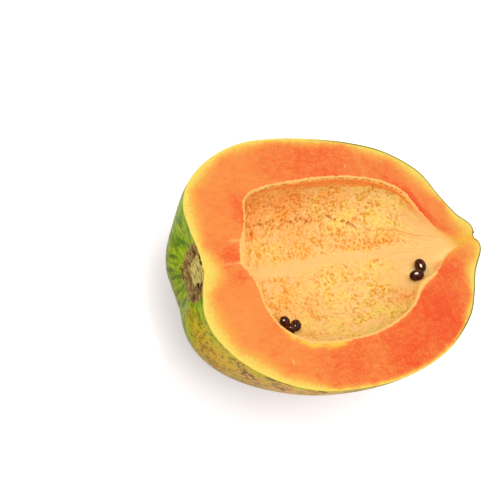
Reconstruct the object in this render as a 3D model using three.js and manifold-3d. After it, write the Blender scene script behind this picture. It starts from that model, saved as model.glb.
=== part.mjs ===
// Half of a ripe papaya, cut from stem scar to blossom tip and laid on its round back: one body
// of rind and flesh round an open seed cavity, with five seeds left on the lining of the cavity.
// Millimetres. X runs along the fruit from the stem to the tip, Y across it and Z up. The origin
// is on the surface that the half lies on, below the middle of its outline.
import * as THREE from "three";
import { mergeVertices } from "three/addons/utils/BufferGeometryUtils.js";
import Module from "manifold-3d";

// ---- Driving dimensions ----

// Edges of the cut face, from the stem end to the tip: [along the fruit, across it].
// The two sides of a fruit are never quite alike: its stem end leans and one flank is fuller.
const RIND_LEFT = [
  [0.3, 0], [0.8, 8], [0.1, 16.5], [0.6, 26.3], [6.4, 35.8], [17.8, 44.1], [33, 49.7], [50, 51.1],
  [68, 50.1], [87, 47.3], [104, 42.1], [118.3, 32.2], [124.6, 20.2], [129.7, 11.3], [135.9, 5],
  [135.8, 0],
];
const RIND_RIGHT = [
  [0.3, 0], [-2.9, -7.5], [-4.9, -15.6], [-3, -24.6], [4.8, -35.3], [17.2, -44.1], [32.5, -50.1],
  [50, -52.3], [68, -52.3], [85, -49.4], [101, -43.6], [115.2, -34], [122.4, -24.9],
  [127.9, -15.9], [136.2, -6.4], [135.8, 0],
];
const CAVITY_LEFT = [
  [17.2, 1.5], [18.9, 7.6], [24.2, 17.5], [28.4, 27.4], [40, 30.9], [54, 32.1], [68, 32.5],
  [82, 31.7], [95.5, 28.8], [105.5, 22.9], [110.5, 13.2], [117.8, 2.9], [127.4, -2.8],
];
const CAVITY_RIGHT = [
  [17.2, 1.5], [20.4, -6], [20.9, -15], [24.4, -24], [34, -31], [48, -33.1], [63, -32.9],
  [77, -29.8], [88, -24.9], [96.5, -16.7], [106.8, -13.1], [116.5, -6.6], [127.4, -2.8],
];

// Depth of each section below the cut, as a share of its half width on the cut face.
const RIND_DEPTH = 1;
const CAVITY_DEPTH = 0.8; // over the stem end's half of the cavity
const CAVITY_TIP_DEPTH = 0.5; // where the cavity runs out in a narrow tail

// Five faint flats run down the rind, and five low seedless ridges down the cavity.
const CARPELS = 5;
const RIND_FLATTENING = 0.006;
const RIDGE_HEIGHT = 0.025;
const RIDGE_ANGLE = THREE.MathUtils.degToRad(78); // of one ridge, down from the left rim

// The stem end swells into soft lobes, one of them fuller, with valleys between them.
const LOBE_ANGLE = THREE.MathUtils.degToRad(60); // of one lobe, down from the left edge
const VALLEY_DEPTH = 2.2;
const VALLEY_SPAN = [0.06, 0.15, 0.33, 0.5]; // shares where they start, are full, fade and end
const FULL_LOBE_ANGLE = THREE.MathUtils.degToRad(141);
const FULL_LOBE_WIDTH = THREE.MathUtils.degToRad(20);
const FULL_LOBE_HEIGHT = 1.3;

const STEM_SLOPE = 1.2; // how much the stem end falls back below the cut
const STEM_SLOPE_FADE = 5; // power of the distance over which that slope runs out
const SCAR_RADIUS = 10.6; // corky disc where the stalk was
const SCAR_MIDDLE = { y: 2, z: -4 }; // the cut passes over it, so that this half keeps most of it
const SCAR_CORE_RADIUS = 4.6; // its torn, raised middle
const SCAR_HEIGHT = 0.6; // of the cork ring and the core over the groove between them
const GROUND_FLAT = 1.2; // thickness pressed off the round back where the half lies

// A seed is an egg pressed a little into the lining. Each has its place as a share of the
// cavity's length and an angle down the wall from the left rim, its turn on the wall, and its
// half length and half width. Angles are in degrees.
const SEEDS = [
  { share: 0.37, angle: 122, turn: 73, length: 2.4, width: 2.1 },
  { share: 0.39, angle: 128.3, turn: 56, length: 3.3, width: 2.2 },
  { share: 0.37, angle: 131, turn: -87, length: 2.8, width: 2 },
  { share: 0.813, angle: 131, turn: 73, length: 3.8, width: 2.4 },
  { share: 0.77, angle: 156.5, turn: -35, length: 3.2, width: 2.5 },
];
const SEED_HEIGHT = 0.9; // share of the width
const SEED_LIFT = 0.8; // of the middle over the lining, as a share of the half height

const RIND_STATIONS = 72;
const RIND_SIDES = 64;
const CAVITY_STATIONS = 54;
const CAVITY_SIDES = 52;
const SEED_SIDES = 9;
const SEED_RINGS = 6;

// ---- Form ----

const curveThrough = (edge) => new THREE.SplineCurve(edge.map(([x, y]) => new THREE.Vector2(x, y)));

// Share of the way along an edge at station i: even in the middle and closer at both ends.
function stationShare(i, count) {
  const even = i / count;
  return (even + (1 - Math.cos(Math.PI * even)) / 2) / 2;
}

// A point of a fruit-like form. Its sections are half ellipses that hang from the line joining
// its two edges on the cut face. The angle starts at the left edge and runs down; beyond a
// half turn the section is mirrored above the cut. The scale swells the whole section.
function sectionPoint(left, right, depth, share, angle, scale) {
  const a = left.getPoint(share);
  const b = right.getPoint(share);
  const across = Math.cos(angle) * scale;
  return new THREE.Vector3(
    (a.x + b.x) / 2 + ((a.x - b.x) / 2) * across,
    (a.y + b.y) / 2 + ((a.y - b.y) / 2) * across,
    -depth * ((a.y - b.y) / 2) * Math.sin(angle) * scale,
  );
}

// Height of the stem scar at a distance from its middle: a cork ring, a groove and a core.
function scarHeight(distance) {
  const groove = (SCAR_RADIUS + SCAR_CORE_RADIUS) / 2 - 1;
  const core = 1 - THREE.MathUtils.smoothstep(distance, SCAR_CORE_RADIUS - 1, groove);
  const ring =
    THREE.MathUtils.smoothstep(distance, groove, groove + 1.5) *
    (1 - THREE.MathUtils.smoothstep(distance, SCAR_RADIUS - 0.5, SCAR_RADIUS + 0.5));
  return SCAR_HEIGHT * (core + ring);
}

const rindLeft = curveThrough(RIND_LEFT);
const rindRight = curveThrough(RIND_RIGHT);

// Direction out of the rind, between those of its two edges.
function rindOutward(share, angle) {
  const left = rindLeft.getTangent(share);
  const right = rindRight.getTangent(share);
  const towardsLeft = (1 + Math.cos(angle)) / 2;
  const along = THREE.MathUtils.lerp(right.y, -left.y, towardsLeft);
  const round = THREE.MathUtils.lerp(right.x, left.x, towardsLeft);
  const out = new THREE.Vector3(along, round * Math.cos(angle), -round * Math.sin(angle));
  return out.normalize();
}

// Depth of the valleys between the lobes of the stem end. They leave the cut face alone.
function valleyDepth(share, angle) {
  const [start, full, fade, end] = VALLEY_SPAN;
  const span =
    THREE.MathUtils.smoothstep(share, start, full) *
    (1 - THREE.MathUtils.smoothstep(share, fade, end));
  const below = Math.abs(Math.sin(angle));
  const valley = (1 - Math.cos(CARPELS * (angle - LOBE_ANGLE))) / 2;
  const fuller = Math.exp(-(((angle - FULL_LOBE_ANGLE) / FULL_LOBE_WIDTH) ** 2));
  return span * (VALLEY_DEPTH * valley * Math.sqrt(below) - FULL_LOBE_HEIGHT * fuller * below);
}

function rindPoint(share, angle) {
  // The flats leave the edges on the cut face where they are given.
  const scale = 1 - RIND_FLATTENING * (Math.cos(CARPELS * angle) - Math.cos(angle));
  const p = sectionPoint(rindLeft, rindRight, RIND_DEPTH, share, angle, scale);
  const below = Math.abs(Math.sin(angle));
  p.x += STEM_SLOPE * below ** 2 * (1 - share) ** STEM_SLOPE_FADE;
  const fromScar = Math.hypot(p.y - SCAR_MIDDLE.y, p.z - SCAR_MIDDLE.z);
  p.x -= below * (share < 0.5 ? scarHeight(fromScar) : 0);
  return p.addScaledVector(rindOutward(share, angle), -valleyDepth(share, angle));
}

const cavityLeft = curveThrough(CAVITY_LEFT);
const cavityRight = curveThrough(CAVITY_RIGHT);
function cavityPoint(share, angle) {
  const ridge = Math.abs(Math.sin(angle)) * Math.cos(CARPELS * (angle - RIDGE_ANGLE));
  const tail = THREE.MathUtils.clamp(2 * share - 1, 0, 1);
  const depth = THREE.MathUtils.lerp(CAVITY_DEPTH, CAVITY_TIP_DEPTH, tail);
  return sectionPoint(cavityLeft, cavityRight, depth, share, angle, 1 - RIDGE_HEIGHT * ridge);
}

// A closed mesh of rings of points between two poles.
function ringedGeometry(point, stations, sides) {
  const positions = [];
  const faces = [];
  // Half a step of turn keeps every point off the plane of the cut.
  for (let i = 1; i < stations; i++)
    for (let j = 0; j < sides; j++)
      positions.push(...point(stationShare(i, stations), ((j + 0.5) / sides) * 2 * Math.PI));
  const first = positions.length / 3;
  const last = first + 1;
  positions.push(...point(0, 0), ...point(1, 0));
  for (let j = 0; j < sides; j++) {
    const next = (j + 1) % sides;
    faces.push(first, j, next);
    for (let i = 0; i < stations - 2; i++) {
      const here = i * sides;
      const ahead = here + sides;
      faces.push(here + j, ahead + j, ahead + next, here + j, ahead + next, here + next);
    }
    const end = (stations - 2) * sides;
    faces.push(end + j, last, end + next);
  }
  return new THREE.BufferGeometry()
    .setAttribute("position", new THREE.Float32BufferAttribute(positions, 3))
    .setIndex(faces);
}

// ---- Joining and cutting ----

const wasm = await Module();
wasm.setup();

function solidOf(geometry) {
  const bare = new THREE.BufferGeometry()
    .setAttribute("position", geometry.getAttribute("position"))
    .setIndex(geometry.index);
  const merged = mergeVertices(bare, 1e-4);
  const solid = new wasm.Manifold(
    new wasm.Mesh({
      numProp: 3,
      vertProperties: new Float32Array(merged.attributes.position.array),
      triVerts: new Uint32Array(merged.index.array),
    }),
  );
  if (solid.volume() <= 0) throw new Error("a form is inside out");
  return solid;
}

function geometryOf(solid) {
  const { vertProperties, triVerts } = solid.getMesh();
  const geometry = new THREE.BufferGeometry()
    .setAttribute("position", new THREE.BufferAttribute(vertProperties, 3))
    .setIndex(new THREE.BufferAttribute(triVerts, 1));
  geometry.computeVertexNormals();
  return geometry;
}

const BLOCK = 400; // side of a cutting block, larger than the whole fruit
function blockAbove(height) {
  return solidOf(
    new THREE.BoxGeometry(BLOCK, BLOCK, BLOCK).translate(0, 0, height + BLOCK / 2),
  );
}
function blockBelow(height) {
  return solidOf(
    new THREE.BoxGeometry(BLOCK, BLOCK, BLOCK).translate(0, 0, height - BLOCK / 2),
  );
}

// ---- Seeds ----

// A seed lies on the lining, turned in its plane, with its flatter side against the wall.
function seedGeometry(seed) {
  const angle = THREE.MathUtils.degToRad(seed.angle);
  const step = 0.01;
  const place = cavityPoint(seed.share, angle);
  const along = cavityPoint(seed.share + step, angle).sub(place).normalize();
  const round = cavityPoint(seed.share, angle + step).sub(place).normalize();
  const inward = new THREE.Vector3().crossVectors(round, along).normalize();
  const side = new THREE.Vector3().crossVectors(inward, along);
  const height = seed.width * SEED_HEIGHT;
  return new THREE.SphereGeometry(1, SEED_SIDES, SEED_RINGS)
    .rotateZ(Math.PI / 2)
    .scale(seed.length, seed.width, height)
    .rotateZ(THREE.MathUtils.degToRad(seed.turn))
    .applyMatrix4(new THREE.Matrix4().makeBasis(along, side, inward))
    .translate(...place.addScaledVector(inward, SEED_LIFT * height));
}

// ---- The half ----

const fruit = solidOf(ringedGeometry(rindPoint, RIND_STATIONS, RIND_SIDES));
const cavity = solidOf(ringedGeometry(cavityPoint, CAVITY_STATIONS, CAVITY_SIDES));
const deepest = fruit.boundingBox().min[2];
const ground = deepest + GROUND_FLAT;
const half = SEEDS.reduce(
  (body, seed) => body.add(solidOf(seedGeometry(seed))),
  fruit.subtract(cavity).subtract(blockAbove(0)).subtract(blockBelow(ground)),
);

const papayaHalf = new THREE.Mesh(
  geometryOf(half),
  new THREE.MeshStandardMaterial({ color: 0xff8f45, roughness: 0.45, metalness: 0 }),
);
papayaHalf.name = "papaya_half";
const { min, max } = half.boundingBox();
papayaHalf.position.set(-(min[0] + max[0]) / 2, -(min[1] + max[1]) / 2, -min[2]);

const group = new THREE.Group();
group.add(papayaHalf);

export default group;
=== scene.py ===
"""Half of a ripe papaya, lying on its round back with the cut face up.

Metres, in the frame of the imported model: X runs from the stem to the tip, Y across the fruit
and Z up. The forms are worked out in millimetres from the stem end of the cut, with the cut at
height nought, and each piece is moved into the frame when its mesh is made.
"""
import math

import bpy
import numpy as np
from mathutils import Matrix, Vector, noise


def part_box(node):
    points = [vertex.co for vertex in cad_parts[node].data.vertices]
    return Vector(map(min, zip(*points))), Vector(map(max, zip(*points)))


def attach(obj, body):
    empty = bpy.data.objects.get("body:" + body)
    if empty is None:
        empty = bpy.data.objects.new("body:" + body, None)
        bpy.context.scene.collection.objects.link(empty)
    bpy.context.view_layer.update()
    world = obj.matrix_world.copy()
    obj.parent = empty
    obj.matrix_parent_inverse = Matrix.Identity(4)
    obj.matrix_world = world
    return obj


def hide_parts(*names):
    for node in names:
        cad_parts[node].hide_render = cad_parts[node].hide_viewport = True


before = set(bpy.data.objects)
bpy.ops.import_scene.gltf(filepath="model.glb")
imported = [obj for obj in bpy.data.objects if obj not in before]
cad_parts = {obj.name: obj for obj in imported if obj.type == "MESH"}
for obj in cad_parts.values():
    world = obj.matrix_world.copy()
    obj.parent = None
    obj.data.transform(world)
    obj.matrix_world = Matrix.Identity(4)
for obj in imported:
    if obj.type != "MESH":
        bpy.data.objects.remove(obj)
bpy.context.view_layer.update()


# ---- The half fruit ----
# One body of rind and flesh round an open seed cavity, parted with one stroke of a knife from
# the stem scar to the tip. The rind, the moist cut face and the lining of the cavity are one
# closed skin, with a material for each.

# The edges of the cut, each from the stem to the tip as places along and across the fruit: the
# outside of the rind and the rim of the cavity.
RIND_LEFT = [
    (0.3, 0), (0.8, 8), (0.1, 16.5), (0.6, 26.3), (6.4, 35.8), (17.8, 44.1), (33, 49.7),
    (50, 51.1), (68, 50.1), (87, 47.3), (104, 42.1), (118.3, 32.2), (124.6, 20.2),
    (129.7, 11.3), (135.9, 5), (135.8, 0),
]
RIND_RIGHT = [
    (0.3, 0), (-2.9, -7.5), (-4.9, -15.6), (-3, -24.6), (4.8, -35.3), (17.2, -44.1),
    (32.5, -50.1), (50, -52.3), (68, -52.3), (85, -49.4), (101, -43.6), (115.2, -34),
    (122.4, -24.9), (127.9, -15.9), (136.2, -6.4), (135.8, 0),
]
CAVITY_LEFT = [
    (17.2, 1.5), (18.9, 7.6), (24.2, 17.5), (28.4, 27.4), (40, 30.9), (54, 32.1), (68, 32.5),
    (82, 31.7), (95.5, 28.8), (105.5, 22.9), (110.5, 13.2), (117.8, 2.9), (127.4, -2.8),
]
CAVITY_RIGHT = [
    (17.2, 1.5), (20.4, -6), (20.9, -15), (24.4, -24), (34, -31), (48, -33.1), (63, -32.9),
    (77, -29.8), (88, -24.9), (96.5, -16.7), (106.8, -13.1), (116.5, -6.6), (127.4, -2.8),
]
CARPELS = 5  # parts that the fruit grew from, which still shape its rind and its cavity
STATIONS = 300  # steps from the stem to the tip, on the rind and on the lining alike


def smooth(value, low, high):
    """Rises smoothly from nought at low to one at high."""
    t = np.clip((value - low) / (high - low), 0, 1)
    return t * t * (3 - 2 * t)


def span(value, start, full, fade, end):
    """One between full and fade, and nought before start and after end."""
    return smooth(value, start, full) * (1 - smooth(value, fade, end))


def bell(gap, reach):
    """One where there is no gap, and about a third where the gap is as wide as the reach."""
    return np.exp(-((gap / reach) ** 2))


def crowd(even, amount):
    """Even steps from nought to one, drawn towards both ends by some amount."""
    return even * (1 - amount) + (1 - np.cos(math.pi * even)) / 2 * amount


def spline(points, share):
    """Points at shares of the way along a Catmull-Rom curve."""
    p = np.array(points, float)
    at = np.clip(share, 0, 1) * (len(p) - 1)
    i = np.minimum(at.astype(int), len(p) - 2)
    f = (at - i)[..., None]
    a, b, c, d = p[np.maximum(i - 1, 0)], p[i], p[i + 1], p[np.minimum(i + 2, len(p) - 1)]
    start, end = (c - a) / 2, (d - b) / 2
    return (2 * (b - c) + start + end) * f**3 + (3 * (c - b) - 2 * start - end) * f**2 + start * f + b


def direction(points, share, probe=1e-4):
    """Unit direction of the curve at shares of the way along it."""
    step = spline(points, share + probe) - spline(points, share - probe)
    return step / np.linalg.norm(step, axis=-1, keepdims=True)


def even_shares(left, right, count, crowding, fine_steps=4000):
    """Shares at even steps of length along a form, with some crowding at both its ends."""
    fine = np.linspace(0, 1, fine_steps + 1)
    middle = (np.linalg.norm(np.diff(spline(left, fine), axis=0), axis=1)
              + np.linalg.norm(np.diff(spline(right, fine), axis=0), axis=1)) / 2
    length = np.concatenate([[0], np.cumsum(middle)])
    return np.interp(crowd(np.linspace(0, 1, count + 1), crowding) * length[-1], length, fine)


def section(left, right, depth, share, angle, swell):
    """A form of half ellipses that hang from the lines joining its two edges."""
    a, b = spline(left, share), spline(right, share)
    middle, half = (a + b) / 2, (a - b) / 2
    across = np.cos(angle) * swell
    return np.stack([
        middle[..., 0] + half[..., 0] * across,
        middle[..., 1] + half[..., 1] * across,
        -depth * half[..., 1] * np.sin(angle) * swell,
    ], axis=-1)


def rough(points, size, shift=0.0):
    """Perlin noise of about -1 to 1 at each point, with lumps of the size given."""
    flat = (points.reshape(-1, 3) / size + shift).tolist()
    return np.array([noise.noise(p) for p in flat]).reshape(points.shape[:-1])


def nearest(points, loop):
    """Distance in the plane of the cut from each point to a closed line."""
    steps = np.roll(loop, -1, axis=0) - loop
    best = np.full(len(points), np.inf)
    for corner, step in zip(loop, steps):
        t = np.clip(((points - corner) @ step) / max(step @ step, 1e-12), 0, 1)
        gap = points - corner - t[:, None] * step
        best = np.minimum(best, (gap**2).sum(1))
    return np.sqrt(best)


def bevel(grid, drop, fade=0.5):
    """Lowers a form by the drop at the cut, and by less and less below it."""
    grid[..., 2] -= drop * fade / (fade - np.minimum(grid[..., 2], 0))


def blotches(grid, places):
    """The strongest of some round blotches at each point, from the centre, reach and strength
    of each."""
    amount = np.zeros(grid.shape[:-1])
    for *centre, reach, most in places:
        gap = np.linalg.norm(grid[..., :len(centre)] - centre, axis=-1)
        amount = np.maximum(amount, most * bell(gap, reach))
    return amount


# Rind: the outline swept down into half sections, steeper below the stem than at the cut.
RIND_DEPTH = 1  # of a section, in half widths
RIND_SIDES = 60  # steps round a section
RIND_FLATTENING = 0.006  # between the five carpels, in half widths
END_CROWDING, CUT_CROWDING = 0.6, 0.4  # of its steps, towards the stem and tip and towards the cut
STEM_SLOPE = 1.2  # how far the stem end slopes in below the cut
STEM_SLOPE_FADE = 5
rind_share = even_shares(RIND_LEFT, RIND_RIGHT, STATIONS, END_CROWDING)[:, None]
rind_angle = math.pi * crowd(np.linspace(0, 1, RIND_SIDES + 1), CUT_CROWDING)[None, :]
rind_share, rind_angle = np.broadcast_arrays(rind_share, rind_angle)
swell = 1 - RIND_FLATTENING * (np.cos(CARPELS * rind_angle) - np.cos(rind_angle))
rind = section(RIND_LEFT, RIND_RIGHT, RIND_DEPTH, rind_share, rind_angle, swell)
below = np.abs(np.sin(rind_angle))  # nought at the cut and one along the middle of the back
rind[..., 0] += STEM_SLOPE * below**2 * (1 - rind_share) ** STEM_SLOPE_FADE

# The stem end swells into soft lobes with valleys between them, which leave the cut alone.
LOBE_ANGLE = math.radians(60)
VALLEY_DEPTH = 2.2
VALLEY_SPAN = (0.06, 0.15, 0.33, 0.5)  # shares of the way to the tip
FULL_LOBE_ANGLE = math.radians(141)
FULL_LOBE_WIDTH = math.radians(20)
FULL_LOBE_HEIGHT = 1.3
left_way, right_way = direction(RIND_LEFT, rind_share), direction(RIND_RIGHT, rind_share)
to_left = (1 + np.cos(rind_angle)) / 2
out_along = right_way[..., 1] * (1 - to_left) - left_way[..., 1] * to_left
out_round = right_way[..., 0] * (1 - to_left) + left_way[..., 0] * to_left
outward = np.stack([out_along, out_round * np.cos(rind_angle), -out_round * np.sin(rind_angle)], axis=-1)
outward /= np.linalg.norm(outward, axis=-1, keepdims=True)
valleys = VALLEY_DEPTH * (1 - np.cos(CARPELS * (rind_angle - LOBE_ANGLE))) / 2 * np.sqrt(below)
full_lobe = FULL_LOBE_HEIGHT * bell(rind_angle - FULL_LOBE_ANGLE, FULL_LOBE_WIDTH) * below
rind -= outward * (span(rind_share, *VALLEY_SPAN) * (valleys - full_lobe))[..., None]

# The stalk has left a scar: a raised core and a ring of torn cork, with a groove between them.
SCAR_MIDDLE = (2, -4)  # across and up
SCAR_RADIUS = 10.6
SCAR_CORE_RADIUS = 4.6
SCAR_GROOVE_RADIUS = 6.6
SCAR_TAPER = 1.2  # how much it narrows towards its foot
SCAR_HEIGHT = 0.6
SCAR_HOLLOWS = [  # torn pits in the cork: place across and up, size and depth
    (8.8, -3.2, 0.6, 0.9), (-3, -4.6, 0.8, 1.2), (-4.4, -2.4, 0.7, 1), (6, -0.9, 0.6, 1),
    (4, -0.7, 0.6, 1), (1, -9, 0.5, 0.5), (5.4, -6.6, 0.4, 0.5), (-6.6, -6.6, 0.5, 0.5),
    (3.4, -12.6, 0.5, 0.5),
]
HOLLOW_STRETCH = 1.6  # along the cut
stem_end = rind_share < 0.5
scar_y, scar_z = rind[..., 1] - SCAR_MIDDLE[0], rind[..., 2] - SCAR_MIDDLE[1]
from_scar = np.hypot(scar_y, scar_z)
ragged = from_scar + SCAR_TAPER * smooth(-scar_z, 1, 9)
ragged += 1.3 * rough(rind, 3.6, 4.0) + 0.7 * rough(rind, 1.1)
core = stem_end * (1 - smooth(ragged, SCAR_CORE_RADIUS - 1, SCAR_GROOVE_RADIUS))
ring = smooth(ragged, SCAR_GROOVE_RADIUS, SCAR_GROOVE_RADIUS + 1.5)
ring *= stem_end * (1 - smooth(ragged, SCAR_RADIUS - 0.5, SCAR_RADIUS + 0.5))
on_scar = stem_end * (1 - smooth(ragged, SCAR_RADIUS - 0.8, SCAR_RADIUS + 0.7))
fibrous = rind * (1, 0.5, 1.5)  # the cork is torn into fibres along the cut
cork = 0.4 * rough(fibrous, 1.5, 7.0) + 0.3 * rough(fibrous, 0.7, 3.0)
ragged_hollow = 0.4 * rough(rind, 1.3, 2.0)
for across, up, size, depth in SCAR_HOLLOWS:
    apart = np.hypot((rind[..., 1] - across) / HOLLOW_STRETCH, rind[..., 2] - up) + ragged_hollow
    cork -= depth * bell(apart, size)
rind[..., 0] -= below**0.5 * (SCAR_HEIGHT * (core + ring) + on_scar * cork)

# Shallow folds spread from the scar over the shoulder of the fruit, like the spokes of a wheel.
FOLD_DEPTH = 0.26
FOLD_FADE = (17, 36)  # where they fade away, from the middle of the scar
SPOKE_FREQUENCY, SPOKE_LENGTH = 9, 14
spoke = np.stack([scar_y / from_scar * SPOKE_FREQUENCY, scar_z / from_scar * SPOKE_FREQUENCY,
                  from_scar / SPOKE_LENGTH], axis=-1)
fold = stem_end * span(from_scar, SCAR_RADIUS - 1, SCAR_RADIUS + 2, *FOLD_FADE) * rough(spoke, 0.5)
sag = FOLD_DEPTH * fold + 0.1 * rough(rind, 9) + 0.03 * rough(rind, 2.2)

# A small notch at the tip, where the flower was.
NOTCH_PLACE = np.array([136.2, -0.7, 0])
NOTCH_REACH = 1.5
NOTCH_DEPTH = 1.2
notch = NOTCH_DEPTH * bell(np.linalg.norm(rind - NOTCH_PLACE, axis=-1), NOTCH_REACH)
rind += outward * (sag * below**0.5 - notch)[..., None]

# The knife leaves a small bevel on the rind, and the back rests on a flat spot.
EDGE_DROP = 0.2
bevel(rind, EDGE_DROP)
_, part_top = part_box("papaya_half")
part_height = part_top.z * 1000
rind[..., 2] = rind[..., 2].clip(-part_height, 0)

# The rind is green at the stem and ripens in blotches that run lengthwise.
RIPE_RIND = [
    (-4, -15, -7, 6, 0.42), (-3, -21, -7, 8, 0.56), (-1, -27, -6, 9, 0.6), (3, -32, -12, 9, 0.64),
    (12, -40, -10, 10, 0.7), (24, -46, -8, 12, 0.8), (0, -24, -14, 8, 0.54), (4, -32, -20, 10, 0.62),
    (14, -38, -26, 12, 0.68), (4, -35, -2, 9, 0.6), (18, -45, -2, 12, 0.7), (34, -50, -3, 14, 0.84),
    (46, -50, -14, 18, 0.86), (76, -50, -10, 24, 0.9), (104, -38, -12, 24, 1), (62, -38, -34, 26, 1.05),
    (92, -12, -44, 26, 1), (66, 36, -34, 24, 0.95), (100, 22, -28, 22, 0.85), (132, 0, -4, 8, 0.75),
    (34, 12, -44, 14, 0.6), (9, -36, -9, 7, 0.84),
]
lengthwise = rind * (0.4, 1, 1)
rind_ripe = blotches(rind, RIPE_RIND) + 0.2 * rough(lengthwise, 9, 2.0) + 0.14 * rough(lengthwise, 4, 6.0)
right_flank = smooth(-rind[..., 2], 5, 12) * smooth(-rind[..., 1], 12, 26)  # and ripest low on this flank

# Lining: smooth belts between zones of small pits, where the seeds were held.
CAVITY_DEPTH = 0.8  # of a section, in half widths
CAVITY_TIP_DEPTH = 0.5
RIDGE_HEIGHT = 0.025
RIDGE_ANGLE = math.radians(78)
LINING_SIDES = 204  # steps round a section
LINING_CROWDING = 0.15


def cavity(share, angle):
    """Places on the lining before its relief, by share of its length and angle down its wall."""
    ridge = np.abs(np.sin(angle)) * np.cos(CARPELS * (angle - RIDGE_ANGLE))
    depth = CAVITY_DEPTH + (CAVITY_TIP_DEPTH - CAVITY_DEPTH) * np.clip(2 * share - 1, 0, 1)
    return section(CAVITY_LEFT, CAVITY_RIGHT, depth, share, angle, 1 - RIDGE_HEIGHT * ridge)


def facing(grid):
    """Unit normals of a grid of points, towards the cross of its rows and columns."""
    normal = np.cross(np.gradient(grid, axis=1), np.gradient(grid, axis=0))
    return normal / np.maximum(np.linalg.norm(normal, axis=-1, keepdims=True), 1e-9)


lining_share = even_shares(CAVITY_LEFT, CAVITY_RIGHT, STATIONS, LINING_CROWDING)[:, None]
lining_angle = (math.pi * np.linspace(0, 1, LINING_SIDES + 1))[None, :]
lining_share, lining_angle = np.broadcast_arrays(lining_share, lining_angle)
lining = cavity(lining_share, lining_angle)
inward = facing(lining)
degrees = np.degrees(lining_angle)
along = lining[..., 0]
wander = 3.0 * rough(lining, 11) + 1.5 * rough(lining, 4)
rim_line = np.concatenate([spline(CAVITY_LEFT, np.linspace(0, 1, 200)),
                           spline(CAVITY_RIGHT, np.linspace(1, 0, 200)[1:-1])])
in_from_rim = nearest(lining[..., :2].reshape(-1, 2), rim_line).reshape(along.shape)
below_rim = np.hypot(in_from_rim, lining[..., 2])


def belt(centre, half, edge):
    """One inside a lengthwise belt of the lining and nought outside it, in degrees round it."""
    return 1 - smooth(np.abs(degrees + wander - centre), half - edge, half + edge)


# The widest belt runs down the middle of the cavity and bends where the cavity narrows. Both
# ends of the cavity are smooth too.
belt_line = 79 - 8 * (1 - smooth(along, 20, 38)) + 11 * smooth(along, 70, 106)
smooth_belt = np.maximum.reduce([
    belt(belt_line, 4, 3),
    belt(150, 3, 4) * 0.4,
    belt(1, 5, 4) * smooth(along, 40, 56),
    smooth(along + wander + 11 * smooth(degrees, 86, 100), 100, 114),
    1 - smooth(along + wander * 0.5, 18, 24),
])
seeded = 1 - smooth_belt

# A row of tiny pits runs just under the upper rim.
ROW_DROP = 0.95  # below the rim
ROW_WIDTH = 0.45
ROW_SPAN = (24, 34, 104, 110)
row = bell(below_rim - ROW_DROP - 0.25 * rough(lining, 2.6), ROW_WIDTH) * (degrees < 60)
row *= span(along, *ROW_SPAN) * smooth(rough(lining, 0.9), -0.05, 0.15)

# Pits and dimples are the cells of two sizes that the seeds have left, in crooked outlines.
PIT_CELL = 1.5
DIMPLE_CELL = 0.85
CELL_WARP = 0.7
warp = np.stack([rough(lining, 1.7, shift) for shift in (1.0, 5.0, 9.0)], axis=-1)
cells = (lining + CELL_WARP * warp).reshape(-1, 3) * (1.1, 0.9, 0.9)
pit_gaps = np.array([noise.voronoi(p)[0][:2] for p in (cells / PIT_CELL).tolist()])
dimple_gap = np.array([noise.voronoi(p)[0][0] for p in (cells / DIMPLE_CELL + 40).tolist()])
near, far = (pit_gaps[:, k].reshape(along.shape) for k in (0, 1))
# They lie in loose patches, and closest together beside the far half of the widest belt.
CROWDED_PLACE, CROWDED_WIDTH = 12, 8  # degrees above the belt
CROWDED_SPAN = (70, 84, 102, 112)
crowded_pits = bell(degrees - belt_line + CROWDED_PLACE, CROWDED_WIDTH) * span(along, *CROWDED_SPAN)
patchy = smooth(rough(lining, 6.5, 9.0) + 0.5 * rough(lining, 2.6), -0.5, 0.45)
patchy = np.maximum(patchy, crowded_pits)
pit = (1 - smooth(near, 0.2, 0.72)) * seeded * (0.3 + 0.7 * patchy)
dimple = (1 - smooth(dimple_gap.reshape(along.shape), 0.15, 0.65)) * seeded
net = (1 - smooth(far - near, 0.0, 0.25)) * seeded

# The seam between two of the zones is a crooked row of pits that ends in a thin line.
SEAM_WIDTH, THIN_SEAM_WIDTH = 3, 1.6  # degrees round the lining
seam_line = 44.5 + 21 * smooth(along, 72, 103) - 20 * smooth(along, 106, 122)
off_seam = degrees - seam_line + 2.2 * rough(lining, 3.5) + rough(lining, 1.2)
thin = smooth(along, 92, 100)
seam = bell(off_seam, SEAM_WIDTH + (THIN_SEAM_WIDTH - SEAM_WIDTH) * thin)
seam *= smooth(along, 24, 36) * (1 - 0.4 * thin)
gappy = 1 - smooth(near + 0.5 * rough(lining, 0.9, 3.0), 0.2, 0.8)
seam *= np.maximum(0.2 + 0.65 * gappy, thin) * (1 - smooth(along, 118, 124))
POCKETS = [  # deeper pits by the stem end of the seam
    (38, 22.1, -17.6, 0.8, 0.9), (40.3, 22.5, -17.8, 0.6, 0.8), (43.3, 24.1, -16.9, 0.7, 0.9),
    (38.9, 20, -19.4, 1.2, 1.1), (46, 23.4, -18, 0.6, 0.8), (48, 23.9, -17.6, 0.6, 0.8),
    (54.4, 23.8, -18.1, 0.8, 0.9), (61, 24.4, -18, 0.5, 0.7),
]
seam = np.maximum(seam, blotches(lining, POCKETS))

# Towards the tip the lining is drawn out into fine lengthwise streaks.
STREAK_DEGREES, STREAK_LENGTH = 4, 60
drawn_out = np.stack([degrees / STREAK_DEGREES, along / STREAK_LENGTH, 0 * along], axis=-1)
streak = smooth(along, 88, 112) * rough(drawn_out, 1.0)

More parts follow.
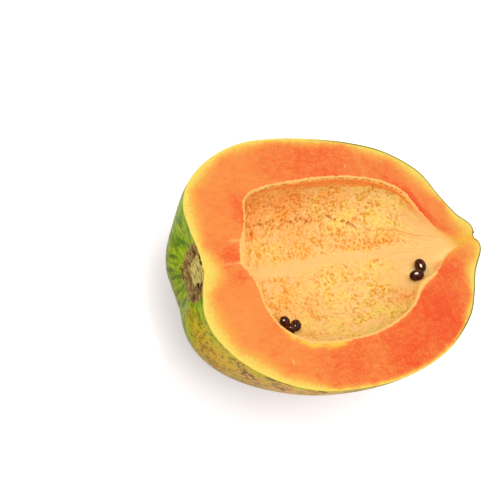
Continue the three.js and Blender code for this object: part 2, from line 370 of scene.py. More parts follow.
# Relief of the lining, in millimetres. Just under the rim it stands out as a rounded ledge,
# widest at the stem end, and the rim itself is knobbly.
PIT_DEPTH = 0.42
NET_HEIGHT = 0.16
SEAM_DEPTH = 0.1
ROW_DEPTH = 0.15
LUMP_HEIGHT, GRAIN_HEIGHT = 0.16, 0.12
STREAK_HEIGHT = 0.14
KNOB_HEIGHT = 0.16
LEDGE_HEIGHT, STEM_LEDGE_HEIGHT = 0.45, 1.2
relief = (PIT_DEPTH * (0.4 - pit) * seeded + NET_HEIGHT * (net - dimple) - SEAM_DEPTH * seam
          - ROW_DEPTH * row + LUMP_HEIGHT * rough(lining, 4.5) + GRAIN_HEIGHT * rough(lining, 1.1) * seeded
          + STREAK_HEIGHT * streak)
relief *= smooth(below_rim, 0.0, 1.8)
relief += KNOB_HEIGHT * rough(lining, 1.3, 6.0) * (1 - smooth(below_rim, 0.5, 2))
stem_lip = bell(lining[..., 1] - 7, 7) * (1 - smooth(along, 22, 30))
ledge = (LEDGE_HEIGHT + STEM_LEDGE_HEIGHT * stem_lip) * (1 + 0.35 * rough(lining, 1.5))
ledge *= (1 - smooth(along, 104, 116)) * span(below_rim, 0, 1.3, 1.4, 3.4 + stem_lip)
relief += ledge * (1 - smooth(degrees, 90, 130) * 0.6)
lining = lining + inward * relief[..., None]
RIM_DROP = 0.22
bevel(lining, RIM_DROP)

# Where the lining is warm orange, pale or golden, where painted light pales its shaded lower
# slopes by the tip, and how wide its bare pale rim is.
WARM_LINING = [
    (34, 24, -8, 18, 1), (54, 27, -8, 15, 0.9), (76, 27, -6, 12, 0.65), (92, -20, -8, 7, 0.5),
    (38.6, 19.4, -19.6, 2.2, 1.5), (54.5, 22.8, -18.8, 2, 1.3), (34, -20, -14, 15, 0.75),
    (26, 0, -16, 22, 0.6), (62, 18, -20, 16, 0.5), (101, -14, -3, 5, 1), (110, -11, -2, 5, 1),
    (50, -8, -26, 14, 0.5),
]
WIDE_RIM = [(19, 5, -3, 8, 0.3), (98, -20, -2, 10, 1.2)]
WALL_SPAN = (24, 34, 104, 119)
wall_edge = 10 + 2 * smooth(along, 40, 92)
wall = (1 - smooth(degrees + wander - wall_edge, -5, 7)) * span(along, *WALL_SPAN)
# Painted light: the lower slopes towards the tip, which lie in shade, are made paler
painted_slope_light = smooth(along, 84, 104) * smooth(degrees, 105, 140)
lining_ripe = np.maximum(blotches(lining, WARM_LINING), 0.5 * crowded_pits)
lining_gold = smooth(along + wander, 114, 127)
lining_rim = 0.7 + 0.8 * (degrees < 90) + blotches(lining, WIDE_RIM)
lining_rim *= (1 + 0.4 * rough(lining, 2.2)) * (1 - 0.9 * smooth(along - 10 * (degrees > 90), 104, 120))

# Cut face: rings of points from the edge of the rind to the rim of the cavity.
SKIN_STEPS = [0.12, 0.3, 0.6, 1.1, 1.9, 3, 4.6]  # in from the rind
RIM_STEPS = [4, 2.6, 1.7, 1.1, 0.7, 0.4, 0.18]  # out from the rim
MIDDLE_STEPS = 6
MOST_SHARE = 0.3  # of a narrow face that the rings by either edge take up


def face_side(outer, inner):
    """The rings of one side of the cut face."""
    gap = inner - outer
    length = np.linalg.norm(gap, axis=-1, keepdims=True)
    room = length * MOST_SHARE
    by_skin = [np.minimum(s, room * s / SKIN_STEPS[-1]) / length for s in SKIN_STEPS]
    by_rim = [1 - np.minimum(s, room * s / RIM_STEPS[0]) / length for s in RIM_STEPS]
    first, last = by_skin[-1], by_rim[0]
    between = [first + (last - first) * k / MIDDLE_STEPS for k in range(1, MIDDLE_STEPS)]
    shares = np.stack(by_skin + between + by_rim, axis=1)
    return outer[:, None] + gap[:, None] * shares


face = np.concatenate([face_side(rind[:, 0], lining[:, 0]), face_side(rind[:, -1], lining[:, -1])])
outer_loop = np.concatenate([rind[:, 0], rind[-2:0:-1, -1]])[:, :2]
inner_loop = np.concatenate([lining[:, 0], lining[-2:0:-1, -1]])[:, :2]
flat_face = face[..., :2].reshape(-1, 2)
skin_gap = nearest(flat_face, outer_loop).reshape(face.shape[:2])
face_rim_gap = nearest(flat_face, inner_loop).reshape(face.shape[:2])
on_plane = face * np.array([1, 1, 0])
face_along, face_across = on_plane[..., 0], on_plane[..., 1]

# Where the flesh is reddest, and how wide the yellow flesh is beside the rind.
RED_FLESH = [
    (100, -32, 22, 1), (78, -43, 20, 0.85), (112, -14, 11, 0.85), (48, -41, 16, 0.6), (66, 39, 24, 0.6),
    (98, 30, 12, 0.45), (26, 22, 8, 0.65), (13, 5, 5, 0.75), (14, -3, 4, 0.6), (110, 15, 8, 0.5),
    (21, -26, 7, 0.3), (44, 40, 9, 0.45),
]
RED_RIM = [(110, 14, 20, 1.3), (104, -18, 18, 0.6)]
RED_RIM_REACH = 3.8
PALER_FLESH = [(9, -22, 9, 0.25)]
YELLOW_FLESH = [
    (3, 0, 9, 10), (-2, -20, 15, 7), (8, -38, 14, 6.5), (24, -48, 12, 4.5), (0, 22, 14, 6.5),
    (10, 40, 14, 5), (34, 50, 16, 3.4), (66, 50, 24, 3), (98, 44, 16, 4.5), (116, 30, 14, 7),
    (130, 2, 12, 8), (126, -16, 10, 6), (116, -32, 10, 3),
]
YELLOW_LEAST = 1.2
red_rim = bell(face_rim_gap, RED_RIM_REACH) * blotches(on_plane, RED_RIM)
face_ripe = np.maximum(blotches(on_plane, RED_FLESH), red_rim) - blotches(on_plane, PALER_FLESH)
face_yellow = np.maximum(YELLOW_LEAST, blotches(on_plane, YELLOW_FLESH))

# The pale lining also shows in the cut, widest where the cavity narrows to its end.
WIDE_CUT_RIM = [(99, -18, 0, 7, 1.1), (19, 5, 0, 8, 0.5)]
face_rim = 0.6 + 0.3 * (face_across < 0) + blotches(on_plane, WIDE_CUT_RIM)
face_rim *= 1 + 0.4 * rough(on_plane, 3)
face_rim *= 1 - 0.9 * smooth(face_along + 5 * (face_across < 0), 108, 116)

# The flesh is golden between the end of the cavity and the tip, and beside the lower rim.
GOLDEN_RIM = [(28, -28, 5, 0.9), (35, -31.5, 6, 1.3), (44, -34, 6, 1.2)]
GOLDEN_RIM_REACH = 3
GOLDEN_LINE, GOLDEN_LINE_WIDTH = -1.4, 2.6
golden_line = bell(face_across - GOLDEN_LINE, GOLDEN_LINE_WIDTH) * smooth(face_along, 121, 127)
golden_end = 0.8 * bell(face_rim_gap, 1.6) * smooth(face_along, 110, 122)
face_gold = np.maximum(golden_line, golden_end)
glow = bell(face_rim_gap, GOLDEN_RIM_REACH) * blotches(on_plane, GOLDEN_RIM)

# The skin shows along the edge of the cut as a thin olive line, but not at the pale stem end.
edge = np.maximum(smooth(face_along, 60, 90) * (face_across > 0), smooth(face_along, 96, 112))

# Short pale strands run from the stalk to the cavity.
STRANDS = [  # place across, size of the waves, half width, start, where it is full, and strength
    (1.8, 1.8, 0.65, 6, 12, 0.55), (10.5, 1.6, 0.8, 12, 17, 0.6),
]
strand = np.zeros(face_along.shape)
for across, waves, width, start, full, most in STRANDS:
    off_strand = face_across - across - 0.5 * rough(on_plane, waves)
    strand = np.maximum(strand, most * bell(off_strand, width) * smooth(face_along, start, full))
strand *= 1 - smooth(face_along, 18, 22)

# The cut is almost flat: it sinks a little, rolls over at both its edges and has a knobbly lip.
FACE_SINK = 0.16
FACE_WAVES, FACE_LUMPS = 0.05, 0.03
LIP_PLACE, LIP_WIDTH, LIP_HEIGHT = 0.75, 0.45, 0.13
lip = bell(face_rim_gap - LIP_PLACE, LIP_WIDTH) * (0.5 + 0.5 * rough(on_plane, 1.3))
RIM_ROLL, SKIN_ROLL = 0.25, 0.12
face_height = FACE_WAVES * rough(on_plane, 14) + FACE_LUMPS * rough(on_plane, 2.4) - FACE_SINK
face_height += LIP_HEIGHT * lip
face_height -= SKIN_ROLL * np.exp(-skin_gap / 0.12) + RIM_ROLL * np.exp(-face_rim_gap / 0.16)
face[..., 2] = np.minimum(face_height, 0)

# Each point carries what its colour depends on: how far it is from the rind and from the rim,
# in millimetres, and how much of a pit, a belt, a seam or a fold it is in.
rind_values = {
    "skin_gap": 0 * below, "scar": on_scar, "core": core, "cork": cork, "fold": fold,
    "flank": right_flank, "ripe": rind_ripe,
}
lining_values = {
    "rim_gap": below_rim, "rim_width": lining_rim, "pit": pit, "dimple": dimple, "belt": smooth_belt,
    "seam": seam, "row": row, "streak": streak, "wall": wall, "slope_light": painted_slope_light,
    "gold": lining_gold, "ripe": lining_ripe,
}
face_values = {
    "skin_gap": skin_gap, "rim_gap": face_rim_gap, "rim_width": face_rim, "strand": strand,
    "gold": face_gold, "glow": glow, "edge": edge, "ripe": face_ripe, "yellow": face_yellow,
}
ELSEWHERE = {"skin_gap": 30, "rim_gap": 30, "rim_width": 1}  # and nought for the others
points = []
carried = {name: [] for name in {**rind_values, **lining_values, **face_values}}


def lay(grid, cut, values):
    """Adds a part of a grid of points, with its values, and returns their numbers."""
    part = grid[cut]
    ids = np.arange(part[..., 0].size).reshape(part.shape[:-1]) + sum(len(p) for p in points)
    points.append(part.reshape(-1, 3))
    for name, amounts in carried.items():
        otherwise = np.full(grid.shape[:-1], ELSEWHERE.get(name, 0))
        amounts.append(values.get(name, otherwise)[cut].reshape(-1))
    return ids


def lay_form(grid, values):
    """Adds a form whose rings close to one point at each of its ends."""
    ids = np.empty(grid.shape[:2], int)
    ids[1:-1] = lay(grid, np.s_[1:-1], values)
    ids[0] = lay(grid, np.s_[0:1, 0:1], values)
    ids[-1] = lay(grid, np.s_[-1:, 0:1], values)
    return ids


def quads(ids, turned):
    """The faces between the rows and columns of a grid of numbers."""
    a, b, c, d = ids[:-1, :-1], ids[1:, :-1], ids[1:, 1:], ids[:-1, 1:]
    order = (a, d, c, b) if turned else (a, b, c, d)
    return [tuple(dict.fromkeys(f)) for f in np.stack(order, axis=-1).reshape(-1, 4).tolist()]


# The three skins share the points along their edges and close at the stem and the tip.
rind_ids = lay_form(rind, rind_values)
lining_ids = lay_form(lining, lining_values)
face_ids = lay(face, np.s_[:], face_values)
left_ids, right_ids = face_ids[:STATIONS + 1], face_ids[STATIONS + 1:]
right_ids[0], right_ids[-1] = left_ids[0], left_ids[-1]
left_ids = np.concatenate([rind_ids[:, :1], left_ids, lining_ids[:, :1]], axis=1)
right_ids = np.concatenate([rind_ids[:, -1:], right_ids, lining_ids[:, -1:]], axis=1)
skins = [quads(rind_ids, True), quads(left_ids, False) + quads(right_ids, True), quads(lining_ids, False)]

body_points = np.concatenate(points)
middle = (body_points.min(0) + body_points.max(0)) / 2
to_part = np.array([-middle[0], -middle[1], part_height])


def placed(grid):
    """From millimetres at the stem to metres in the frame of the part."""
    return (np.asarray(grid) + to_part) / 1000


def new_piece(name, points, faces, values):
    """A smooth piece of the points that its faces use, with the values that they carry."""
    used = sorted({i for f in faces for i in f})
    number = {old: new for new, old in enumerate(used)}
    mesh = bpy.data.meshes.new(name)
    mesh.from_pydata(placed(points[used]).tolist(), [], [[number[i] for i in f] for f in faces])
    mesh.polygons.foreach_set("use_smooth", [True] * len(faces))
    for value, amounts in values.items():
        attribute = mesh.attributes.new(value, "FLOAT", "POINT")
        attribute.data.foreach_set("value", np.concatenate(amounts)[used].astype(np.float32))
    piece = bpy.data.objects.new(name, mesh)
    bpy.context.scene.collection.objects.link(piece)
    return piece


body = new_piece("papaya_flesh", body_points, sum(skins, []), carried)
finish_numbers = [number for number, faces in enumerate(skins) for _ in faces]
body.data.polygons.foreach_set("material_index", finish_numbers)


def feed(node, inputs):
    """Gives each input of a node its value, or leads a wire into it."""
    for name, value in inputs.items():
        if isinstance(value, Wire):
            value.tree.links.new(value.output, node.inputs[name])
        else:
            node.inputs[name].default_value = value


class Wire:
    """One output of a material's nodes. Sums and products of wires add Math nodes."""

    def __init__(self, tree, output=None):
        self.tree = tree
        self.output = output

    def node(self, kind, settings=None, inputs=None, output=0):
        """Adds a node with its settings, then the value or the wire of each input."""
        made = self.tree.nodes.new("ShaderNode" + kind)
        for name, value in (settings or {}).items():
            setattr(made, name, value)
        feed(made, inputs or {})
        return Wire(self.tree, made.outputs[output])

    def math(self, operation, a, b):
        return self.node("Math", {"operation": operation}, {0: a, 1: b})

    def __add__(self, other):
        return self.math("ADD", self, other)

    def __radd__(self, other):
        return self.math("ADD", other, self)

    def __sub__(self, other):
        return self.math("SUBTRACT", self, other)

    def __rsub__(self, other):
        return self.math("SUBTRACT", other, self)

    def __mul__(self, other):
        return self.math("MULTIPLY", self, other)

    def __rmul__(self, other):
        return self.math("MULTIPLY", other, self)

    def __truediv__(self, other):
        return self.math("DIVIDE", self, other)

    def step(self, low, high):
        """Rises smoothly from nought at low to one at high."""
        return self.node("MapRange", {"interpolation_type": "SMOOTHSTEP"},
                         {"Value": self, "From Min": low, "From Max": high})

    def mix(self, first, second):
        """The first colour where this is nought and the second where it is one."""
        return self.node("Mix", {"data_type": "RGBA"}, {0: self, 6: first, 7: second}, output=2)

    def bump(self, distance):
        """The normal of a surface that this raises by up to the distance."""
        return self.node("Bump", {}, {"Height": self, "Distance": distance, "Strength": 1.0})

    def noise(self, scale, detail=2.0, roughness=0.5):
        """Cloudy noise of nought to one, read at this place."""
        return self.node("TexNoise", {}, {"Vector": self, "Scale": scale, "Detail": detail,
                                          "Roughness": roughness})

    def stretch(self, scale, offset=(0, 0, 0)):
        """This place scaled and then moved, for a pattern to be read there."""
        return self.node("Mapping", {}, {"Vector": self, "Scale": scale, "Location": offset})

    def length(self):
        return self.node("VectorMath", {"operation": "LENGTH"}, {0: self}, output="Value")

    def axis(self, letter):
        return self.node("SeparateXYZ", {}, {"Vector": self}, output=letter)

    def carried(self, *names):
        """The values that the points of the piece carry."""
        return [self.node("Attribute", {"attribute_name": name}, output="Fac") for name in names]


def new_finish(name):
    """A new material, its main shader and the place of a point on its piece."""
    material = bpy.data.materials.new(name)
    material.use_nodes = True
    tree = material.node_tree
    return material, tree.nodes["Principled BSDF"], Wire(tree).node("TexCoord", output="Object")


def tint(red, green, blue):
    """A linear colour from the usual 0 to 255."""
    parts = [c / 255 for c in (red, green, blue)]
    return [p / 12.92 if p <= 0.04045 else ((p + 0.055) / 1.055) ** 2.4 for p in parts] + [1]


def coated(colour, *coats):
    """A colour under some coats, each with a mask of where it lies and its own colour."""
    for mask, coat in coats:
        colour = mask.mix(colour, coat)
    return colour


# Rind: green at the stem, ripening to olive, straw and orange, with dark flecks, a thin wax and
# painted shade that darkens it low on the back, towards the floor.
DEEP_GREEN = tint(74, 106, 4)
LEAF_GREEN = tint(122, 150, 4)
LIME = tint(158, 174, 16)
OLIVE = tint(176, 156, 26)
STRAW = tint(192, 138, 32)
RIPE_ORANGE = tint(216, 114, 26)
DARK_SPECK = tint(66, 60, 4)
UNDERSIDE_SHADE = tint(94, 70, 8)
CORK_TAN = tint(180, 154, 90)
CORK_BROWN = tint(108, 76, 36)
CORK_DARK = tint(46, 28, 10)
CORE_PALE = tint(222, 196, 118)
CORE_OLIVE = tint(140, 134, 56)
rind_finish, shader, place = new_finish("papaya_rind")
fold, ripe, flank, scar, cork, core = place.carried("fold", "ripe", "flank", "scar", "cork", "core")
height = place.axis("Z")
clouds = place.stretch((0.4, 1, 1)).noise(160, 3, 0.6) - 0.5
mottle = place.noise(620, 4, 0.6) - 0.5
grit = place.stretch((1, 0.4, 1.4)).noise(1300, 4, 0.7) - 0.5
dashes = place.stretch((0.5, 1, 1)).noise(700, 4, 0.65) + clouds * 0.5
flecks = place.node("TexVoronoi", {}, {"Vector": place, "Scale": 300}, output="Distance")
# Fine dark streaks run out from the scar like the spokes of a wheel.
_, scar_across, scar_up = placed((0, *SCAR_MIDDLE))
from_stalk = place.stretch((0, 1, 1), (0, -scar_across, -scar_up))
stalk_gap = from_stalk.length()
around = place.node("VectorMath", {"operation": "NORMALIZE"}, {0: from_stalk})
outwards = place.node("CombineXYZ", {}, {"X": stalk_gap * 16})
spokes = place.node("VectorMath", {"operation": "ADD"}, {0: around, 1: outwards}).noise(10)
spokes = (spokes - 0.5) * (1 - stalk_gap.step(0.016, 0.036))
greenness = fold * 0.4 + spokes * 3.2 + clouds * 0.7 + mottle * 1.1
turning = ripe + clouds * 0.6
skin_colour = coated(
    DEEP_GREEN,
    (greenness.step(-0.5, 0.1), LEAF_GREEN),
    (greenness.step(0.02, 0.5) * 0.8, LIME),
    ((turning + mottle * 0.5).step(0.12, 0.46), OLIVE),
    ((turning + mottle).step(0.4, 0.84), STRAW),
    ((turning + mottle * 0.6).step(0.7, 1.15), RIPE_ORANGE),
    (flank * 0.5, STRAW),
    (dashes.step(0.48, 0.62) * (0.15 + ripe), DARK_SPECK),
    ((1 - (flecks + mottle * 0.3).step(0.08, 0.2)) * 0.7, DARK_SPECK),
    # painted shade: darker olive low on the back, towards the floor
    ((1 - (height + mottle * 0.01).step(0.012, 0.042)) * 0.85, UNDERSIDE_SHADE),
)
fibre = place.stretch((1, 0.25, 1.3)).noise(1500, 3, 0.6) - 0.5
core_colour = (fibre * 3 + grit).step(-0.5, 0.4).mix(CORE_OLIVE, CORE_PALE)
cork_colour = coated(
    CORK_BROWN,
    ((cork + grit * 1.6 + fibre).step(-0.3, 0.4), CORK_TAN),
    ((core + grit + fibre).step(0.35, 0.85), core_colour),
    ((grit - fibre).step(0.12, 0.3) * 0.8, CORK_BROWN),
    (1 - (cork + grit * 1.5).step(-0.75, -0.3), CORK_DARK),
)
feed(shader, {
    "Base Color": (scar + grit * 0.8).step(0.2, 0.75).mix(skin_colour, cork_colour),
    "Roughness": scar * 0.4 + 0.36 + mottle * 0.2,
    "Normal": (mottle * 0.5 + spokes * 0.8 + grit * (0.25 + scar * 2)).bump(0.0004),
    "Specular IOR Level": 0.04,
})

# Flesh of the cut face: yellow beside the rind, orange further in and red-orange round the rim.
# Light passes a little way through it, the red of it furthest.
LEMON = tint(224, 201, 89)
AMBER = tint(226, 162, 64)
ORANGE = tint(226, 135, 60)
RED_ORANGE = tint(222, 62, 18)
DEEP_ORANGE = tint(206, 88, 26)
BUTTER = tint(232, 180, 116)
TIP_GOLD = tint(226, 164, 48)
RIM_GOLD = tint(228, 182, 66)
PALE_RIM = tint(238, 184, 103)
EDGE_GREEN = tint(104, 110, 18)
PALE_MARKS = [(80.3, 36.8), (24, -37.6)]  # small pale marks in the flesh, from the stem end of the cut
MARK_STRETCH = 0.3
LIGHT_REACH = (1, 0.4, 0.15)
flesh_finish, shader, place = new_finish("papaya_cut_flesh")
skin, rim, ripe, yellow = place.carried("skin_gap", "rim_gap", "ripe", "yellow")
rim_width, strand, gold, glow, edge = place.carried("rim_width", "strand", "gold", "glow", "edge")
lumps = place.noise(240, 3) - 0.5
grain = place.noise(1100, 3, 0.7) - 0.5
grit = place.noise(2600, 2, 0.6) - 0.5
fibres = place.stretch((0.5, 1, 1)).noise(500, 3, 0.6) - 0.5
depth = (skin + lumps * 1.2 + grain * 1.8) / yellow
redness = ripe + lumps * 0.7 + fibres + grain * 3 + grit * 2.6
inner_colour = redness.step(-0.2, 1.15).mix(ORANGE, RED_ORANGE)
deep = (fibres * 0.8 - grit - grain).step(0.08, 0.36)
flesh_colour = coated(
    LEMON,
    ((depth + grain).step(0.1, 0.9), AMBER),
    ((depth + grain).step(0.3, 1.9), inner_colour),
    (gold, TIP_GOLD),
    # fine pale specks, partly grain of the flesh and partly painted glints of its moisture
    ((grit * 1.5 + grain).step(0.1, 0.34) * 0.6, BUTTER),
    (deep * (0.25 + ripe * 0.35), DEEP_ORANGE),
    ((1 - skin.step(0.4, 0.9)) * edge, EDGE_GREEN),
    ((strand + grain * 1.5).step(0.1, 1), BUTTER),
    ((glow + fibres + grain).step(0.15, 0.85), RIM_GOLD),
)
for mark in PALE_MARKS:
    mark_along, mark_across, _ = placed((*mark, 0))
    off_mark = place.stretch((1, MARK_STRETCH, 0), (-mark_along, -MARK_STRETCH * mark_across, 0))
    in_mark = 1 - (off_mark.length() + grain * 0.0006).step(0.0001, 0.0004)
    flesh_colour = in_mark.mix(flesh_colour, BUTTER)
band = (rim + place.noise(700) * 1.2 - 0.6) / rim_width
feed(shader, {
    "Base Color": band.step(0.5, 1.25).mix(PALE_RIM, flesh_colour),
    "Roughness": 0.36 + grain * 0.3,
    "Normal": (grain + lumps * 0.5 + grit * 0.5).bump(0.0004),
    "Specular IOR Level": 0.1,
    "Subsurface Weight": 0.3,
    "Subsurface Radius": LIGHT_REACH,
    "Subsurface Scale": 0.0025,
})

# Lining: soft pale flesh, ochre in the pits, orange on the steep upper wall. It is thinner than
# the flesh of the cut, so more light passes through it.
PALE = tint(247, 199, 130)
GOLD = tint(243, 214, 114)
PEACH = tint(240, 194, 122)
SLOPE_LIGHT = tint(255, 216, 140)
WARM = tint(255, 170, 90)
WALL = tint(255, 148, 72)
OCHRE = tint(226, 160, 52)
RED_PIT = tint(236, 124, 44)
SEAM_BROWN = tint(198, 106, 28)
SEAM_RED = tint(222, 114, 48)
ROSE = tint(234, 160, 92)
ROW_BROWN = tint(190, 116, 36)
lining_finish, shader, place = new_finish("papaya_lining")
rim, rim_width, ripe, gold = place.carried("rim_gap", "rim_width", "ripe", "gold")
pits, dimple, seam, row, streak = place.carried("pit", "dimple", "seam", "row", "streak")
belts, wall, slope_light = place.carried("belt", "wall", "slope_light")
lumps = place.noise(260, 3) - 0.5
patches = place.noise(110, 3) - 0.5
grain = place.noise(1100, 3, 0.7) - 0.5
belt_colour = coated(
    PEACH,
    # painted light on the shaded lower slopes by the tip
    (slope_light * 0.85, SLOPE_LIGHT),
    ((ripe + lumps * 0.5).step(0.2, 1.2), WARM),
)
pit_colour = ripe.mix(OCHRE, RED_PIT)
seam_colour = place.axis("X").step(0.02, 0.035).mix(SEAM_BROWN, SEAM_RED)
band = (rim + place.noise(700) * 1.2 - 0.6) / rim_width
lining_colour = coated(
    PALE,
    ((patches * 1.5 + lumps * 1.8 + grain).step(-0.35, 0.4), GOLD),
    ((ripe + lumps + grain).step(0.0, 1.0), WARM),
    (belts, belt_colour),
    ((wall + lumps * 0.6).step(0.2, 0.9), WALL),
    ((dimple * 0.6 + grain * 1.4).step(0.1, 0.95), pit_colour),
    ((pits + grain * 1.4).step(0.05, 0.95), pit_colour),
    (gold, TIP_GOLD),
    ((seam + grain).step(0.15, 1.0), seam_colour),
    ((streak + grain * 0.3).step(0.0, 0.5) * 0.45, ROSE),
    (1 - band.step(0.55, 1.3), PALE_RIM),
    ((row + grain).step(0.2, 0.7) * 0.8, ROW_BROWN),
)
feed(shader, {
    "Base Color": lining_colour,
    "Roughness": 0.4 + grain * 0.3,
    "Normal": (grain + lumps - dimple * 0.6).bump(0.0005),
    "Specular IOR Level": 0.12,
    "Subsurface Weight": 0.6,
    "Subsurface Radius": LIGHT_REACH,
    "Subsurface Scale": 0.004,
})

for finish in (rind_finish, flesh_finish, lining_finish):
    body.data.materials.append(finish)
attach(body, "root")
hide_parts("papaya_half")


# ---- Seeds ----
# Five seeds left on the lining in two groups. A papaya seed is a hard black egg in lengthwise
# wrinkles, wet with what is left of its jelly, and it sits a little pressed into the flesh. Each
# has a painted highlight on one side.

# Share of the cavity's length, angle down its wall, turn, half length, half width, and reach of
# the painted highlight, with all angles in degrees.
SEEDS = [
    (0.37, 122, 73, 2.4, 2.1, 9), (0.39, 128.3, 56, 3.3, 2.2, 6.5), (0.37, 131, -87, 2.8, 2, 4),
    (0.813, 131, 73, 3.8, 2.4, 11), (0.77, 156.5, -35, 3.2, 2.5, 10),
]
SEED_HEIGHT = 0.9  # in half widths
SEED_LIFT = 0.8  # of its middle above the lining, in half heights
SEED_SWELL = 0.94  # share of its size that the wrinkles stand on
SEED_RINGS, SEED_SIDES = 56, 84
WRINKLES = 9
WRINKLE_HEIGHT, BUMP_HEIGHT, WOBBLE_HEIGHT = 0.035, 0.014, 0.02
HIGHLIGHT_DIRECTION = np.array([-0.6, 0.2, 0.77])  # the side of each seed that its painted highlight is on
HIGHLIGHT_EDGE = 2.5  # degrees over which a painted highlight fades
PROBE = 0.01  # a small step along or round the lining, which shows how it slopes


def unit(vector):
    """A vector of the same direction and length one."""
    return vector / np.linalg.norm(vector)


def round_ball(rings, sides):
    """A ball of radius one with its poles on X: its points, their angles from the pole and
    round it, and the numbers of the points."""
    polar, spin = np.meshgrid(np.linspace(0, math.pi, rings + 1),
                              np.linspace(0, 2 * math.pi, sides, endpoint=False), indexing="ij")
    ball = np.stack([np.cos(polar), np.sin(polar) * np.cos(spin), np.sin(polar) * np.sin(spin)], axis=-1)
    ids = np.arange(polar.size).reshape(polar.shape)
    ids = np.concatenate([ids, ids[:, :1]], axis=1)
    ids[0], ids[-1] = ids[0, 0], ids[-1, 0]
    return ball, polar, spin, ids


ball, polar, spin, ids = round_ball(SEED_RINGS, SEED_SIDES)
seed_points, seed_faces, seed_crests, seed_highlights = [], [], [], []
for number, (share, angle, turned, length, width, highlight_reach) in enumerate(SEEDS):
    share, angle = np.array(share), np.array(math.radians(angle))
    spot = cavity(share, angle)
    way = unit(cavity(share + PROBE, angle) - spot)
    round_way = unit(cavity(share, angle + PROBE) - spot)
    up_way = unit(np.cross(round_way, way))
    side_way = np.cross(up_way, way)
    to_fruit = np.array(Matrix.Rotation(math.radians(turned), 3, "Z")).T @ np.array([way, side_way, up_way])
    wobble = rough(ball, 0.8, number * 7.0)
    bumps = rough(ball, 0.22, number * 3.0)
    crest = np.abs(np.cos(WRINKLES / 2 * spin + 1.6 * wobble + 0.8 * np.cos(2 * polar)))
    crest = (1 - crest) ** 1.5 * np.sin(polar) ** 0.7
    swell = SEED_SWELL + WRINKLE_HEIGHT * crest + BUMP_HEIGHT * bumps + WOBBLE_HEIGHT * wobble
    half_sizes = np.array([length, width, width * SEED_HEIGHT])
    seed = spot + up_way * SEED_LIFT * half_sizes[2] + (ball * swell[..., None] * half_sizes) @ to_fruit
    out_way = (ball / half_sizes) @ to_fruit
    out_way /= np.linalg.norm(out_way, axis=-1, keepdims=True)
    # A painted highlight on the side of each seed that faces the highlight direction
    off = np.degrees(np.arccos(np.clip(out_way @ unit(HIGHLIGHT_DIRECTION), -1, 1)))
    painted_highlight = highlight_reach - off + 3 * rough(ball, 0.3, number * 5.0)
    seed_faces += quads(ids + number * polar.size, True)
    seed_points.append(seed.reshape(-1, 3))
    seed_crests.append((crest + 0.5 * bumps).reshape(-1))
    seed_highlights.append(smooth(painted_highlight, -HIGHLIGHT_EDGE, HIGHLIGHT_EDGE).reshape(-1))
seeds = new_piece("papaya_seeds", np.concatenate(seed_points), seed_faces,
                  {"crest": seed_crests, "painted_highlight": seed_highlights})

SEED_BLACK = tint(34, 10, 3)
SEED_BROWN = tint(92, 34, 10)
SEED_RED = tint(136, 56, 22)
HIGHLIGHT_WHITE = tint(252, 232, 214)
seed_finish, shader, place = new_finish("papaya_seed")
crest, painted_highlight = place.carried("crest", "painted_highlight")
speckle = place.noise(1600, 3, 0.6) - 0.5
seed_colour = coated(
    SEED_BLACK,
    ((crest + speckle * 1.5).step(0.1, 0.8), SEED_BROWN),
    ((crest + speckle * 2).step(0.6, 1.2), SEED_RED),
    # painted highlight, a pale spot on one side of each seed
    ((painted_highlight + speckle).step(0.3, 0.7), HIGHLIGHT_WHITE),
)
feed(shader, {
    "Base Color": seed_colour,
    "Roughness": 0.3 + speckle * 0.3,
    "Normal": speckle.bump(0.0001),
    "Specular IOR Level": 0.05,
    "Coat Weight": 0.2,
    "Coat Roughness": 0.08,
})
seeds.data.materials.append(seed_finish)
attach(seeds, "root")
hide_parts("papaya_half")


# ---- Blossom end ----
# The dried stump of the flower, a dark crumpled nub in the notch at the tip of the fruit. It has
# grown there and dried to a hard brown crust.

NUB_PLACE = np.array([135.6, 1.3, -0.6])
NUB_HALF_SIZES = np.array([0.85, 0.6, 0.6])
NUB_RINGS, NUB_SIDES = 24, 40
NUB_LOBES = 5
NUB_END = 136.6  # where it is worn off
ball, polar, spin, ids = round_ball(NUB_RINGS, NUB_SIDES)
crumple = 0.85 + 0.16 * np.cos(NUB_LOBES * spin) * np.sin(polar) + 0.2 * rough(ball, 0.5)
nub_points = NUB_PLACE + ball * crumple[..., None] * NUB_HALF_SIZES
nub_points[..., 0] = np.minimum(nub_points[..., 0], NUB_END)
nub = new_piece("blossom_nub", nub_points.reshape(-1, 3), quads(ids, True), {})

DARK_CRUST = tint(34, 22, 12)
BROWN_CRUST = tint(88, 64, 36)
nub_finish, shader, place = new_finish("dried_blossom")
speckle = place.noise(2500, 3, 0.6)
feed(shader, {
    "Base Color": speckle.step(0.3, 0.7).mix(DARK_CRUST, BROWN_CRUST),
    "Roughness": 0.6 + speckle * 0.3,
    "Normal": speckle.bump(0.0002),
})
nub.data.materials.append(nub_finish)
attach(nub, "root")
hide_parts("papaya_half")


# ---- Floor, light and camera ----
# A pale matt floor that fades into a white room, a broad soft lamp almost overhead and a small
# one that puts the sparkle on the seeds. The camera looks down from the stem end's side.

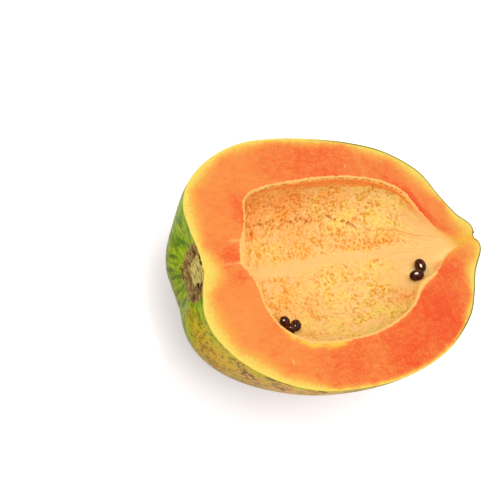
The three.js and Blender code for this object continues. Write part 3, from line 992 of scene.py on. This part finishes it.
FLOOR_REACH = 60.0
FLOOR_GLOW = 0.33  # keeps the shadow soft and light
FLOOR_WHITE, FLOOR_PALE = tint(245, 238, 241), tint(242, 235, 238)
floor_corners = [(x * FLOOR_REACH, y * FLOOR_REACH, 0) for x, y in ((-1, -1), (1, -1), (1, 1), (-1, 1))]
floor_mesh = bpy.data.meshes.new("floor")
floor_mesh.from_pydata(floor_corners, [], [(0, 1, 2, 3)])
floor =bpy.data.objects.new("floor", floor_mesh)
bpy.context.scene.collection.objects.link(floor)
floor_finish, shader, place = new_finish("pale_floor")
feed(shader, {
    "Base Color": place.noise(3).mix(FLOOR_PALE, FLOOR_WHITE),
    "Roughness": 0.8,
    "Specular IOR Level": 0.2,
    "Emission Color": (1, 1, 1, 1),
    "Emission Strength": FLOOR_GLOW,
})
floor_mesh.materials.append(floor_finish)

ROOM_LIGHT = 0.84
scene = bpy.context.scene
world = bpy.data.worlds.new("studio")
world.use_nodes = True
feed(world.node_tree.nodes["Background"], {"Color": (1, 1, 1, 1), "Strength": ROOM_LIGHT})
scene.world = world
scene.view_settings.view_transform = "Standard"


def away_from_middle(azimuth, elevation):
    """Unit vector from the middle of the scene, by angles in degrees."""
    a, e = math.radians(azimuth), math.radians(elevation)
    return Vector((math.cos(a) * math.cos(e), math.sin(a) * math.cos(e), math.sin(e)))


def area_light(name, azimuth, elevation, distance, size, power):
    """A round lamp that faces the middle of the scene."""
    light = bpy.data.lights.new(name, "AREA")
    light.shape = "DISK"
    light.size = size
    light.energy = power
    lamp = bpy.data.objects.new(name, light)
    lamp.location = away_from_middle(azimuth, elevation) * distance
    lamp.rotation_euler = (-lamp.location).to_track_quat("-Z", "Y").to_euler()
    scene.collection.objects.link(lamp)


area_light("key", azimuth=-150, elevation=76, distance=0.9, size=0.9, power=4.0)
area_light("sparkle", azimuth=130, elevation=74, distance=0.7, size=0.1, power=0.5)

CAMERA_TARGET = Vector((-0.04403, 0.00685, 0.05059))
CAMERA_DISTANCE = 0.36268
CAMERA_AZIMUTH = -152.68
CAMERA_ELEVATION = 51.0
CAMERA_ROLL = math.radians(49.0)
camera_data = bpy.data.cameras.new("camera")
camera_data.lens = 72
camera_data.sensor_width = 36
camera = bpy.data.objects.new("camera", camera_data)
away = away_from_middle(CAMERA_AZIMUTH, CAMERA_ELEVATION)
upright = away.to_track_quat("Z", "Y").to_matrix().to_4x4()
camera.matrix_world = (Matrix.Translation(CAMERA_TARGET + away * CAMERA_DISTANCE) @ upright
                       @ Matrix.Rotation(CAMERA_ROLL, 4, "Z"))
scene.collection.objects.link(camera)
scene.camera = camera
